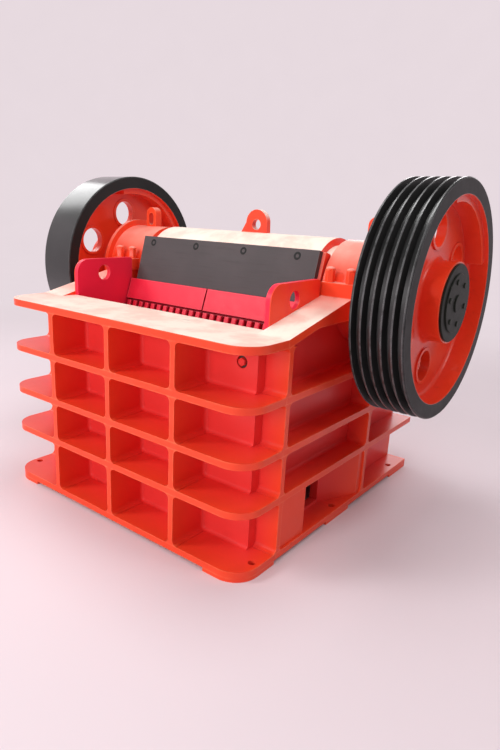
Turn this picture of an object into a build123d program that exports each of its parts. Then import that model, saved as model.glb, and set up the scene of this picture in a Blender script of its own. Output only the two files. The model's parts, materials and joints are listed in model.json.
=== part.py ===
"""Single-toggle jaw crusher for stone: a ribbed steel frame, a mouth between two cheek plates,
a swing jaw hung on an eccentric shaft, and a grooved pulley and a flywheel on the shaft's ends.

Millimetres, +Z up. The shaft lies along X and the mouth's front is towards -Y. The origin is the
centre of the foundation bolt rectangle, on the plane that the foot pads rest on.
"""
import os
from math import cos, hypot, isclose, radians, sin, tan

from build123d import *

# Frame in plan
chamber_half_width = 528.0
side_wall_thickness = 35.0
front_wall_thickness = 50.0
rear_wall_thickness = 40.0
frame_front = -673.0
frame_rear = 700.0
front_rib_depth = 167.0
side_rib_depth = 93.0
rear_rib_depth = 100.0
corner_radius = 100.0

# Frame levels: the tops of the plates that wrap round the walls
foot_height = 15.0
plate_thickness = 25.0
lower_band_top = 264.0
middle_band_top = 441.0
upper_band_top = 629.0
deck_top = 825.0
deck_thickness = 28.0

# Ribs
rib_thickness = 22.0
cell_corner = 20.0
front_rib_pitch = 333.0
corner_rib_front = -461.0
middle_rib_front = 205.0

# Deck beside the mouth: it ramps up to the bearing seats
deck_tongue = 68.0
seat_rise = 93.0
seat_half_length = 241.0
seat_depth = 78.0

# Foundation bolts and foot pads
bolt_hole = 28.0
bolt_edge = 31.0
bolt_half_length = 565.0
foot_front_length = 203.0
foot_front_width = 165.0
foot_middle_length = 190.0
foot_rear_length = 180.0

# Side walls: a window in the lowest bay, between thick places that slope down to it
window_front = -121.0
window_length = 101.0
window_bottom = 52.0
window_height = 110.0
pocket_front = -270.0
pocket_rear = 170.0
pocket_margin = 3.0
pocket_recess = 8.0

# Round seats near the front wall's upper corners
wall_bolt_inset = 31.0
wall_bolt_height = 729.0
wall_bolt_diameter = 44.0
wall_bolt_recess = 12.0

# Cheek plates
cheek_thickness = 22.0
cheek_gap = 14.0
cheek_rise = 155.0
cheek_bottom = 170.0
cheek_rear_foot = -235.0
cheek_shoulder_drop = 125.0
cheek_front_round = 60.0
cheek_rear_round = 15.0
cheek_hole = 68.0
cheek_hole_inset = 152.0
cheek_hole_drop = 63.0

# Shaft and its eccentric
shaft_y = 175.0
journal_radius = 90.0
wheel_seat_radius = 80.0
eccentricity = 8.0
eccentric_angle = 225.0
eccentric_radius = 112.0
eccentric_step = 15.0
running_fit = 0.05

# Bearing housings
housing_radius = 200.0
housing_overhang = 27.0
housing_reach = 64.0
ear_inset = 20.0
ear_height = 51.0
cover_radius = 228.0
cover_thickness = 18.0
cover_gap = 1.0
lug_inset = 116.0
lug_width = 64.0
lug_thickness = 40.0
lug_height = 92.0
lug_slot = 33.0
lug_slot_foot = 6.0
lug_crown = 26.0

# Pitman, the casting that carries the swing jaw
barrel_radius = 210.0
barrel_gap = 46.0
collar_radius = 180.0
collar_clearance = 6.0
pitman_clearance = 13.0
pitman_plate = 70.0
pitman_head_pad = 40.0
pitman_lip_height = 22.0
pitman_lip_reach = 35.0
pitman_rib_count = 5
pitman_rib_thickness = 30.0
pitman_rib_inset = 33.0
pitman_rib_reach = 125.0
pitman_rib_drop = 168.0

# Swing jaw plates: the teeth's tips lie in one leaning plane
jaw_head_reach = 265.0
jaw_head_drop = 35.0
jaw_angle = 19.3
jaw_length = 775.0
jaw_thickness = 60.0
jaw_clearance = 7.0
jaw_split = 8.0
head_band = 96.0
head_groove = 9.0
left_tooth_count = 12
right_tooth_count = 13
tooth_depth = 25.0
tooth_tip = 24.0
tooth_root = 31.0
tooth_round = 6.0
tooth_foot = 20.0

# Fixed jaw plates
fixed_jaw_thickness = 54.0
fixed_jaw_bottom = 130.0
fixed_jaw_ledge_height = 32.0
fixed_jaw_ledge_depth = 36.0

# Guard plate above the swing jaw
guard_step = 17.0
guard_foot_drop = 2.0
guard_angle = 15.5
guard_length = 206.0
guard_inset = 13.0
guard_thickness = 25.0

# Lifting eye on the pitman's barrel
eye_offset = 47.0
eye_radius = 56.0
eye_left_foot = 90.0
eye_right_foot = 58.0
eye_height = 98.0
eye_thickness = 28.0
eye_hole = 46.0
eye_hole_height = 34.0

# Toggle behind the swing jaw
toggle_reach = 77.0
toggle_front_height = 240.0
toggle_rear_y = 320.0
toggle_rear_height = 300.0
toggle_thickness = 40.0
toggle_inset = 43.0
toggle_clearance = 7.0
toggle_seat_height = 140.0
toggle_seat_depth = 65.0
block_depth = 120.0
block_height = 130.0
block_clearance = 28.0
shim_count = 4
shim_gap = 1.0
rail_size = 35.0
toggle_seat_gap = 0.3

# Pulley and flywheel
wheel_radius = 440.0
wheel_gap = 11.0
wheel_width = 197.0
rim_thickness = 58.0
web_thickness = 25.0
hub_radius = 150.0
wheel_blend = 18.0
web_hole_count = 6
web_hole = 120.0
web_hole_circle = 256.0
web_hole_angle = 92.0
web_hole_lip = 12.0
web_lip_height = 6.0
counterweight_depth = 25.0
counterweight_start_angle = 20.0
counterweight_angle = 81.0
counterweight_recess = 18.0
groove_count = 5
groove_pitch = 37.0
groove_width = 32.0
groove_depth = 27.0
groove_angle = 36.0
rim_chamfer = 4.0
cap_radius = 144.0
cap_thickness = 8.0
cap_disc_radius = 110.0
cap_boss_radius = 33.0
cap_step = 5.0
cap_chamfer = 2.5

# Overrun that every cut shares
overrun = 5.0

# Places worked out from the sizes above
wall_outer = chamber_half_width + side_wall_thickness
frame_half_width = wall_outer + side_rib_depth
front_wall_face = frame_front + front_rib_depth
front_wall_back = front_wall_face + front_wall_thickness
mouth_front = front_wall_back + fixed_jaw_thickness
ramp_start = mouth_front - deck_tongue
rear_wall_face = frame_rear - rear_rib_depth
rear_wall_front = rear_wall_face - rear_wall_thickness
base_top = foot_height + plate_thickness
deck_underside = deck_top - deck_thickness
bolt_half_span = frame_half_width - bolt_edge
seat_height = deck_top + seat_rise
seat_underside = seat_height - seat_depth
seat_front = shaft_y - seat_half_length
seat_rear = shaft_y + seat_half_length
band_tops = [lower_band_top, middle_band_top, upper_band_top]

# Mouth and pitman
cheek_inner = chamber_half_width - cheek_thickness
cheek_rear = seat_front - cheek_gap
cheek_top = deck_top + cheek_rise
cheek_shoulder = cheek_top - cheek_shoulder_drop
cheek_hole_y = mouth_front + cheek_hole_inset
cheek_hole_height = cheek_top - cheek_hole_drop
jaw_half_width = cheek_inner - jaw_clearance
jaw_head_y = shaft_y - jaw_head_reach
jaw_head_height = seat_height - jaw_head_drop
guard_foot_y = jaw_head_y + guard_step
guard_foot_height = jaw_head_height - guard_foot_drop
pitman_half_width = cheek_inner - pitman_clearance
guard_half_width = pitman_half_width - guard_inset
toggle_half_width = pitman_half_width - toggle_inset
block_half_width = chamber_half_width - block_clearance
tooth_count = left_tooth_count + right_tooth_count
tooth_pitch = 2 * jaw_half_width / tooth_count
jaw_joint = jaw_half_width - right_tooth_count * tooth_pitch

# Shaft, bearings and wheels
shaft_height = seat_height
housing_inner = chamber_half_width - housing_overhang
housing_outer = frame_half_width + housing_reach
ear_inner = housing_inner + ear_inset
lug_offset = housing_inner + lug_inset
barrel_half_length = housing_inner - barrel_gap
collar_end = housing_inner - collar_clearance
eccentric_half_length = barrel_half_length - eccentric_step
pin_y = shaft_y + eccentricity * cos(radians(eccentric_angle))
pin_height = shaft_height + eccentricity * sin(radians(eccentric_angle))
wheel_inner = housing_outer + cover_thickness + wheel_gap
wheel_outer = wheel_inner + wheel_width
web_inner = wheel_inner + (wheel_width - web_thickness) / 2
web_outer = web_inner + web_thickness
machine_top = shaft_height + wheel_radius

# Bays between the plates, bottom to top, as pairs of heights
bay_floors = [base_top] + band_tops
bay_roofs = [top - plate_thickness for top in band_tops] + [deck_underside]
bays = list(zip(bay_floors, bay_roofs))


def block(x_range, y_range, z_range):
    """A block between pairs of limits."""
    low = [min(limits) for limits in (x_range, y_range, z_range)]
    size = [abs(limits[1] - limits[0]) for limits in (x_range, y_range, z_range)]
    return Pos(*low) * Box(*size, align=(Align.MIN,) * 3)


def plate_along_x(face, start, end):
    """A face drawn in (y, z), given thickness along X."""
    return extrude(Plane.YZ.offset(start) * face, amount=end - start)


def plate_along_y(face, start, end):
    """A face drawn in (x, z), given thickness along Y."""
    return extrude(Plane.XZ.offset(-end) * face, amount=end - start)


def outline(*points):
    return make_face(Polyline(*points, close=True))


def rod_along_x(radius, start, end, y=shaft_y, z=shaft_height):
    """A cylinder along X whose axis passes through (y, z)."""
    return Pos(start, y, z) * Rot(0, 90, 0) * Cylinder(
        radius, end - start, align=(Align.CENTER, Align.CENTER, Align.MIN)
    )


def mirrored(solid):
    return mirror(solid, about=Plane.YZ)


def pair(name, right_side):
    """Both sides of a piece that the frame or shaft carries twice."""
    return {name + "_right": [right_side], name + "_left": [mirrored(right_side)]}


def point_on(origin, lean, along, out):
    """From an origin, a step up a leaning face and a step out of it, in (y, z)."""
    tilt = radians(lean)
    return (
        origin[0] + along * sin(tilt) - out * cos(tilt),
        origin[1] + along * cos(tilt) + out * sin(tilt),
    )


def jaw_point(along, out):
    return point_on((jaw_head_y, jaw_head_height), jaw_angle, along, out)


def guard_point(along, out):
    return point_on((guard_foot_y, guard_foot_height), guard_angle, along, out)


def leaning_plane(origin, lean):
    """A plane on a leaning face: its x runs along X, its y up the face, its z out of it."""
    tilt = radians(lean)
    return Plane(
        origin=(0, origin[0], origin[1]), x_dir=(1, 0, 0), z_dir=(0, -cos(tilt), sin(tilt))
    )


def crossing(first, second):
    """Where two lines in (y, z) cross, each given by two of its points."""
    (y1, z1), (y2, z2) = first
    (y3, z3), (y4, z4) = second
    below = (y1 - y2) * (z3 - z4) - (z1 - z2) * (y3 - y4)
    one = y1 * z2 - z1 * y2
    two = y3 * z4 - z3 * y4
    return ((one * (y3 - y4) - (y1 - y2) * two) / below, (one * (z3 - z4) - (z1 - z2) * two) / below)


# Frame plates

def front_plan():
    """Plan of a plate that wraps round the front: rounded corners, open behind the wall's face."""
    length = corner_rib_front - frame_front
    plan = Pos(0, frame_front + length / 2) * Rectangle(2 * frame_half_width, length)
    plan = fillet(plan.vertices().group_by(Axis.Y)[0], corner_radius)
    behind_wall = corner_rib_front - front_wall_face
    return plan - Pos(0, corner_rib_front - behind_wall / 2) * Rectangle(2 * wall_outer, behind_wall)


def side_plan():
    length = frame_rear - corner_rib_front
    return Pos(wall_outer + side_rib_depth / 2, corner_rib_front + length / 2) * Rectangle(
        side_rib_depth, length
    )


def rear_plan():
    return Pos(0, rear_wall_face + rear_rib_depth / 2) * Rectangle(
        2 * chamber_half_width, rear_rib_depth
    )


def at_levels(plan, tops):
    return [extrude(Pos(0, 0, top - plate_thickness) * plan, amount=plate_thickness) for top in tops]


def bolt_drill(x, y):
    return Pos(x, y, base_top) * Cylinder(bolt_hole / 2, 2 * (base_top + overrun))


def base_flange():
    """The foundation flange, in four plates round the walls, drilled for six bolts."""
    front = at_levels(front_plan(), [base_top])[0]
    for x in (-bolt_half_span, bolt_half_span):
        front -= bolt_drill(x, -bolt_half_length)
    side = at_levels(side_plan(), [base_top])[0]
    for y in (0, bolt_half_length):
        side -= bolt_drill(bolt_half_span, y)
    nodes = pair("base_flange", side)
    nodes["base_flange_front"] = [front]
    nodes["base_flange_rear"] = at_levels(rear_plan(), [base_top])
    return nodes


def foot_pads():
    """Thick pads under the flange, one round each bolt hole."""
    corner = block(
        (frame_half_width - foot_front_width, frame_half_width),
        (frame_front, frame_front + foot_front_length),
        (0, foot_height),
    )
    edge = corner.edges().filter_by(Axis.Z).sort_by(lambda e: e.center().Y - e.center().X)[0]
    corner = fillet(edge, corner_radius)
    under_side = (wall_outer, frame_half_width)
    middle = block(under_side, (-foot_middle_length / 2, foot_middle_length / 2), (0, foot_height))
    rear = block(under_side, (frame_rear - foot_rear_length, frame_rear), (0, foot_height))
    pads = []
    for pad, y in ((corner, -bolt_half_length), (middle, 0), (rear, bolt_half_length)):
        pad -= bolt_drill(bolt_half_span, y)
        pads += [pad, mirrored(pad)]
    return {"foot_pads": pads}


def bands():
    side = at_levels(side_plan(), band_tops)
    return {
        "front_bands": at_levels(front_plan(), band_tops),
        "rear_bands": at_levels(rear_plan(), band_tops),
        "side_bands_right": side,
        "side_bands_left": [mirrored(plate) for plate in side],
    }


# Deck

def deck_top_line():
    return [
        (ramp_start, deck_top),
        (seat_front, seat_height),
        (seat_rear, seat_height),
        (rear_wall_face, deck_top),
        (frame_rear, deck_top),
    ]


def deck_lower_line():
    """Underside of the deck's side: it follows the ramps, then runs level below the seat."""
    front_slope = (seat_height - deck_top) / (seat_front - ramp_start)
    rear_slope = (seat_height - deck_top) / (rear_wall_face - seat_rear)
    rise = seat_underside - deck_underside
    return [
        (ramp_start, deck_underside),
        (ramp_start + rise / front_slope, seat_underside),
        (rear_wall_face - rise / rear_slope, seat_underside),
        (rear_wall_face, deck_underside),
        (frame_rear, deck_underside),
    ]


def housing_space():
    """The round space that a bearing housing takes out of the wall, deck and ribs."""
    return rod_along_x(housing_radius, housing_inner, housing_outer)


def deck():
    """The top flange: a broad front plate, two sides that carry the bearings, and a rear plate."""
    length = ramp_start - frame_front
    plan = Pos(0, frame_front + length / 2) * Rectangle(2 * frame_half_width, length)
    plan = fillet(plan.vertices().group_by(Axis.Y)[0], corner_radius)
    tongue = mouth_front - ramp_start
    plan += Pos(0, ramp_start + tongue / 2) * Rectangle(2 * chamber_half_width, tongue)
    front = extrude(Pos(0, 0, deck_underside) * plan, amount=deck_thickness)
    side_face = outline(*deck_top_line(), *reversed(deck_lower_line()))
    side = plate_along_x(side_face, chamber_half_width, frame_half_width) - housing_space()
    rear = block(
        (-chamber_half_width, chamber_half_width), (rear_wall_front, frame_rear), (deck_underside, deck_top)
    )
    return {"top_flange_front": [front], "top_flange_rear": [rear], **pair("top_flange", side)}


# Walls

def front_wall():
    """The wall behind the fixed jaw, with the ledge that the fixed jaw stands on."""
    wall = block(
        (-wall_outer, wall_outer), (front_wall_face, front_wall_back), (foot_height, deck_underside)
    )
    wall += block(
        (-cheek_inner, cheek_inner),
        (front_wall_back, front_wall_back + fixed_jaw_ledge_depth),
        (fixed_jaw_bottom - fixed_jaw_ledge_height, fixed_jaw_bottom),
    )
    offset = chamber_half_width - wall_bolt_inset
    for x in (-offset, offset):
        wall -= Pos(x, front_wall_face, wall_bolt_height) * Rot(90, 0, 0) * Cylinder(
            wall_bolt_diameter / 2, 2 * wall_bolt_recess
        )
    return {"front_wall": [wall]}


def rear_wall():
    return {
        "rear_wall": [
            block(
                (-chamber_half_width, chamber_half_width),
                (rear_wall_front, rear_wall_face),
                (foot_height, deck_underside),
            )
        ]
    }


def pocket_sides():
    """The thick places in a side wall's lowest bay, on both sides of the window."""
    face = frame_half_width - pocket_recess
    front_end = corner_rib_front + rib_thickness
    front = outline(
        (wall_outer, front_end),
        (face, front_end),
        (face, pocket_front),
        (wall_outer, window_front - pocket_margin),
    )
    rear = outline(
        (wall_outer, window_front + window_length + pocket_margin),
        (face, pocket_rear),
        (face, middle_rib_front),
        (wall_outer, middle_rib_front),
    )
    height = lower_band_top - plate_thickness - base_top
    return [extrude(Pos(0, 0, base_top) * plan, amount=height) for plan in (front, rear)]


def side_walls():
    """A side wall with its window, the thick places beside it and the rail under the toggle block."""
    lower = deck_lower_line()
    start = crossing(lower[:2], ((front_wall_back, 0), (front_wall_back, deck_top)))
    face = outline(
        (front_wall_back, foot_height), start, *lower[1:], (frame_rear, foot_height)
    )
    wall = plate_along_x(face, chamber_half_width, wall_outer) - housing_space() + pocket_sides()
    rail_top = toggle_rear_height - block_height / 2
    wall += block(
        (block_half_width - rail_size, chamber_half_width),
        (toggle_rear_y, rear_wall_front),
        (rail_top - rail_size, rail_top),
    )
    wall -= block(
        (chamber_half_width - overrun, wall_outer + overrun),
        (window_front, window_front + window_length),
        (window_bottom, window_bottom + window_height),
    )
    return pair("side_wall", wall)


# Ribs: each stands in one bay and widens at both ends, which rounds the corners of the cells

def rib_face(floor, roof):
    height = roof - floor
    face = Rectangle(rib_thickness + 2 * cell_corner, height)
    cell_width = rib_thickness + 2 * cell_corner
    for side in (-1, 1):
        offset = side * (rib_thickness + cell_width) / 2
        face -= Pos(offset, 0) * RectangleRounded(cell_width, height, cell_corner)
    return Pos(0, (floor + roof) / 2) * face


def front_ribs():
    ribs = []
    for x in (-front_rib_pitch, 0, front_rib_pitch):
        for floor, roof in bays:
            ribs.append(plate_along_y(Pos(x, 0) * rib_face(floor, roof), frame_front, front_wall_face))
    return {"front_ribs": ribs}


def rear_ribs():
    ribs = []
    for x in (-front_rib_pitch, 0, front_rib_pitch):
        for floor, roof in bays:
            ribs.append(plate_along_y(Pos(x, 0) * rib_face(floor, roof), rear_wall_face, frame_rear))
    return {"rear_ribs": ribs}


def side_ribs():
    """One rib near each front corner and one below the shaft, on both sides of the frame."""
    above_deck = outline(
        (frame_front, deck_underside),
        *deck_lower_line(),
        (frame_rear, machine_top),
        (frame_front, machine_top),
    )
    keep_clear = [
        plate_along_x(above_deck, wall_outer, frame_half_width), housing_space(), *pocket_sides()
    ]
    ribs = []
    for front in (corner_rib_front, middle_rib_front):
        middle = front + rib_thickness / 2
        for floor, roof in bays:
            rib = plate_along_x(Pos(middle, 0) * rib_face(floor, roof), wall_outer, frame_half_width)
            if roof == deck_underside:
                rib += block(
                    (wall_outer, frame_half_width), (front, front + rib_thickness), (floor, seat_underside)
                )
            ribs.append(rib - keep_clear)
    return {"side_ribs_right": ribs, "side_ribs_left": [mirrored(rib) for rib in ribs]}


# Mouth

def cheek_plates():
    """Liners of the side walls; each stands up past the deck and has one round hole."""
    face = outline(
        (mouth_front, cheek_bottom),
        (mouth_front, cheek_top),
        (cheek_rear, cheek_top),
        (cheek_rear, cheek_shoulder),
        (cheek_rear_foot, cheek_bottom),
    )
    top = face.vertices().group_by(Axis.Y)[-1].sort_by(Axis.X)
    face = fillet(top[0], cheek_front_round)
    top = face.vertices().sort_by(lambda v: (v.X - cheek_rear) ** 2 + (v.Y - cheek_top) ** 2)
    face = fillet(top[0], cheek_rear_round)
    face -= Pos(cheek_hole_y, cheek_hole_height) * Circle(cheek_hole / 2)
    return pair("cheek_plate", plate_along_x(face, cheek_inner, chamber_half_width))


def jaw_halves():
    """Each half of a jaw: where it starts and ends across the mouth, and its teeth's middles."""
    middles = [(index + 1 / 2) * tooth_pitch - jaw_half_width for index in range(tooth_count)]
    return {
        "left": (-jaw_half_width, jaw_joint - jaw_split / 2, middles[:left_tooth_count]),
        "right": (jaw_joint + jaw_split / 2, jaw_half_width, middles[left_tooth_count:]),
    }


def tooth_row(middles, length, plane):
    """Teeth with rounded crests that stand side by side on a plane and run up it."""
    tooth = make_face(
        Polyline(
            (-tooth_root / 2, 0), (-tooth_tip / 2, -tooth_depth),
            (tooth_tip / 2, -tooth_depth), (tooth_root / 2, 0), close=True,
        )
    )
    tooth = fillet(tooth.vertices().group_by(Axis.Y)[0], tooth_round)
    face = Sketch() + [Pos(middle, 0) * tooth for middle in middles]
    return extrude(Plane(origin=plane.origin, x_dir=plane.x_dir, z_dir=plane.y_dir) * face, amount=length)


def swing_jaw():
    """The two plates of the swing jaw: a smooth head above a row of teeth."""
    plane = leaning_plane((jaw_head_y, jaw_head_height), jaw_angle)
    tooth_length = jaw_length - head_band - head_groove - tooth_foot
    foot = plane.from_local_coords((0, tooth_foot - jaw_length, -tooth_depth))
    root = Plane(origin=foot, x_dir=plane.x_dir, z_dir=plane.z_dir)
    nodes = {}
    for side, (start, end, middles) in jaw_halves().items():
        body = Pos(start, -jaw_length, -jaw_thickness) * Box(
            end - start, jaw_length, jaw_thickness - tooth_depth, align=(Align.MIN,) * 3
        )
        head = Pos(start, -head_band, -jaw_thickness) * Box(
            end - start, head_band, jaw_thickness, align=(Align.MIN,) * 3
        )
        nodes["swing_jaw_" + side] = [plane * (body + head) + tooth_row(middles, tooth_length, root)]
    return nodes


def fixed_jaw():
    """The fixed jaw in two halves, on the front wall's inner face."""
    face_y = mouth_front - tooth_depth
    root = Plane(origin=(0, face_y, fixed_jaw_bottom), x_dir=(-1, 0, 0), z_dir=(0, 1, 0))
    halves = []
    for start, end, middles in jaw_halves().values():
        body = block((start, end), (front_wall_back, face_y), (fixed_jaw_bottom, deck_underside))
        teeth = tooth_row([-middle for middle in middles], deck_underside - fixed_jaw_bottom, root)
        halves.append(body + teeth)
    return {"fixed_jaw": halves}


def guard_plate():
    plane = leaning_plane((guard_foot_y, guard_foot_height), guard_angle)
    plate = Pos(0, 0, -guard_thickness) * Box(
        2 * guard_half_width, guard_length, guard_thickness, align=(Align.CENTER, Align.MIN, Align.MIN)
    )
    return {"guard_plate": [plane * plate]}


# Pitman

def plate_back_line():
    """The back of the pitman's leaning plate, in (y, z)."""
    out = -jaw_thickness - pitman_plate
    return (jaw_point(0, out), jaw_point(-jaw_length - pitman_lip_height, out))


def plate_back_at(height):
    return crossing(plate_back_line(), ((0, height), (frame_rear, height)))


def toggle_mean():
    """Middle of the toggle plate's front end, behind the pitman's plate."""
    return (plate_back_at(toggle_front_height)[0] + toggle_reach, toggle_front_height)


def toggle_rest():
    """Where the pitman's toggle groove lies while the eccentric is at its rest phase."""
    phase = radians(eccentric_angle)
    y, z = toggle_mean()
    return (y + eccentricity * cos(phase), z + eccentricity * sin(phase))


def pitman_front_line():
    """From the guard plate's top edge down to the lip that carries the jaw plates, in (y, z)."""
    guard_top = guard_point(guard_length, -guard_thickness)
    guard_foot = guard_point(0, -guard_thickness)
    jaw_top_line = (jaw_point(0, 0), jaw_point(0, -jaw_thickness))
    return [
        guard_top,
        crossing((guard_top, guard_foot), jaw_top_line),
        jaw_point(0, -jaw_thickness),
        jaw_point(-jaw_length, -jaw_thickness),
        jaw_point(-jaw_length, pitman_lip_reach - jaw_thickness),
        jaw_point(-jaw_length - pitman_lip_height, pitman_lip_reach - jaw_thickness),
        plate_back_line()[1],
    ]


def pitman():
    """The barrel round the eccentric, the leaning front plate, its ribs and the toggle seat."""
    front = pitman_front_line()
    plate_head = plate_back_line()[0]
    guard_head = guard_point(guard_length, -guard_thickness - pitman_head_pad)
    body = plate_along_x(outline(*front, plate_head, guard_head), -pitman_half_width, pitman_half_width)
    infill = outline(front[0], plate_head, (pin_y, pin_height), (pin_y, front[0][1]))
    body += plate_along_x(infill, -barrel_half_length, barrel_half_length)
    body += pitman_back()
    body += rod_along_x(barrel_radius, -barrel_half_length, barrel_half_length, pin_y, pin_height)
    body += rod_along_x(collar_radius, -collar_end, collar_end, pin_y, pin_height)
    reach = pitman_half_width + overrun
    lip = front[-2]
    in_front = outline(
        *front[:-1], (frame_front, lip[1]), (frame_front, cheek_top), (front[0][0], machine_top)
    )
    body -= plate_along_x(in_front, -reach, reach)
    body -= rod_along_x(eccentric_radius + running_fit, -reach, reach, pin_y, pin_height)
    groove = toggle_thickness / 2 + eccentricity + toggle_clearance
    body -= rod_along_x(groove, -reach, reach, *toggle_rest())
    return {"pitman": [body]}


def pitman_back():
    """The seat for the toggle plate and the ribs that join it to the barrel."""
    seat_levels = [toggle_rest()[1] + side * toggle_seat_height / 2 for side in (-1, 1)]
    low, high = [plate_back_at(level) for level in seat_levels]
    seat_rear_y = plate_back_at(toggle_front_height)[0] + toggle_seat_depth
    seat = outline(low, (seat_rear_y, low[1]), (seat_rear_y, high[1]), high)
    back = plate_along_x(seat, -pitman_half_width, pitman_half_width)
    rib = outline(
        high,
        (seat_rear_y, high[1]),
        (shaft_y + pitman_rib_reach, shaft_height - pitman_rib_drop),
        (pin_y, pin_height),
        plate_back_line()[0],
    )
    first = pitman_rib_inset - pitman_half_width
    pitch = -2 * first / (pitman_rib_count - 1)
    for index in range(pitman_rib_count):
        middle = first + index * pitch
        back += plate_along_x(rib, middle - pitman_rib_thickness / 2, middle + pitman_rib_thickness / 2)
    return back


def lifting_eye():
    """An upright eye welded on top of the barrel, broader at its foot."""
    face = make_face(
        Polyline(
            (-eye_left_foot, -eye_thickness / 2), (-eye_radius, eye_height - eye_radius),
            (eye_radius, eye_height - eye_radius), (eye_right_foot, -eye_thickness / 2), close=True,
        )
    )
    face += Pos(0, eye_height - eye_radius) * Circle(eye_radius)
    face -= Pos(0, eye_hole_height) * Circle(eye_hole / 2)
    face = Pos(eye_offset, pin_height + barrel_radius) * face
    eye = plate_along_y(face, pin_y - eye_thickness / 2, pin_y + eye_thickness / 2)
    eye -= rod_along_x(barrel_radius, -barrel_half_length, barrel_half_length, pin_y, pin_height)
    return {"lifting_eye": [eye]}


# Toggle

def toggle():
    """The toggle plate with its round ends, the block behind it and the adjusting shims."""
    front_y, front_z = toggle_mean()
    length = hypot(toggle_rear_y - front_y, toggle_rear_height - front_z)
    tilt = Plane(
        origin=(-toggle_half_width, front_y, front_z),
        x_dir=(0, (toggle_rear_y - front_y) / length, (toggle_rear_height - front_z) / length),
        z_dir=(1, 0, 0),
    )
    capsule = Pos(length / 2, 0) * SlotCenterToCenter(length, toggle_thickness)
    plate = extrude(tilt * capsule, amount=2 * toggle_half_width)
    seat_z = (toggle_rear_height - block_height / 2, toggle_rear_height + block_height / 2)
    seat = block((-block_half_width, block_half_width), (toggle_rear_y, toggle_rear_y + block_depth), seat_z)
    groove = toggle_thickness / 2 + toggle_seat_gap
    seat -= rod_along_x(groove, -block_half_width, block_half_width, toggle_rear_y, toggle_rear_height)
    pack_front = toggle_rear_y + block_depth
    step = (rear_wall_front - pack_front) / shim_count
    shims = [
        block(
            (-block_half_width, block_half_width),
            (pack_front + index * step, pack_front + (index + 1) * step - shim_gap / 2),
            seat_z,
        )
        for index in range(shim_count)
    ]
    return {"toggle_plate": [plate], "toggle_block": [seat], "adjusting_shims": shims}


# Bearing housings

def cap_lug():
    """The lifting lug on a bearing cap: a round-headed plate with an upright slot."""
    radius = lug_width / 2
    face = make_face(
        Polyline(
            (-radius, -radius), (-radius, lug_height - radius),
            (radius, lug_height - radius), (radius, -radius), close=True,
        )
    )
    face += Pos(0, lug_height - radius) * Circle(radius)
    slot_top = lug_height - lug_crown
    slot = SlotOverall(slot_top - lug_slot_foot, lug_slot, rotation=90)
    face -= Pos(0, (slot_top + lug_slot_foot) / 2) * slot
    face = Pos(lug_offset, shaft_height + housing_radius) * face
    return plate_along_y(face, shaft_y - lug_thickness / 2, shaft_y + lug_thickness / 2)


def bearing_housings():
    """Split housings: the lower half lies in the wall, the cap has ears bolted to the deck."""
    length_x = (housing_inner, housing_outer)
    whole = rod_along_x(housing_radius, *length_x) - rod_along_x(journal_radius + running_fit, *length_x)
    reach = housing_radius + overrun
    below = block(
        (housing_inner - overrun, housing_outer + overrun),
        (shaft_y - reach, shaft_y + reach),
        (0, shaft_height),
    )
    lower = whole & below
    upper = whole - below
    ears = block(
        (ear_inner, frame_half_width), (seat_front, seat_rear), (seat_height, seat_height + ear_height)
    ) - rod_along_x(housing_radius, *length_x)
    cap = upper + ears + cap_lug()
    cover = rod_along_x(cover_radius, housing_outer, housing_outer + cover_thickness)
    cover -= rod_along_x(journal_radius + cover_gap, housing_outer, housing_outer + cover_thickness)
    return {**pair("bearing_base", lower), **pair("bearing_cap", cap), **pair("bearing_cover", cover)}


# Shaft and wheels

def eccentric_shaft():
    """Journals and wheel seats on the shaft's axis, and the thick eccentric between them."""
    shaft = rod_along_x(journal_radius, -wheel_inner, wheel_inner)
    shaft += rod_along_x(wheel_seat_radius, -wheel_outer, wheel_outer)
    shaft += rod_along_x(
        eccentric_radius, -eccentric_half_length, eccentric_half_length, pin_y, pin_height
    )
    return {"eccentric_shaft": [shaft]}


def wheel_profile(grooved):
    """Half section of a wheel as (distance along the shaft, radius)."""
    rim_inner = wheel_radius - rim_thickness
    face = make_face(
        Polyline(
            (wheel_inner, wheel_seat_radius),
            (wheel_inner, hub_radius),
            (web_inner, hub_radius),
            (web_inner, rim_inner),
            (wheel_inner, rim_inner),
            (wheel_inner, wheel_radius),
            (wheel_outer, wheel_radius),
            (wheel_outer, rim_inner),
            (web_outer, rim_inner),
            (web_outer, hub_radius),
            (wheel_outer, hub_radius),
            (wheel_outer, wheel_seat_radius),
            close=True,
        )
    )
    face = fillet(
        [v for v in face.vertices() if isclose(v.X, web_inner) or isclose(v.X, web_outer)], wheel_blend
    )
    face = chamfer([v for v in face.vertices() if isclose(v.Y, wheel_radius)], rim_chamfer)
    if grooved:
        middle = (wheel_inner + wheel_outer) / 2
        narrow = groove_width / 2 - groove_depth * tan(radians(groove_angle / 2))
        wide = groove_width / 2 + overrun * tan(radians(groove_angle / 2))
        for index in range(groove_count):
            x = middle + (index - (groove_count - 1) / 2) * groove_pitch
            face -= make_face(
                Polyline(
                    (x - wide, wheel_radius + overrun),
                    (x - narrow, wheel_radius - groove_depth),
                    (x + narrow, wheel_radius - groove_depth),
                    (x + wide, wheel_radius + overrun),
                    close=True,
                )
            )
    return face


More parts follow.
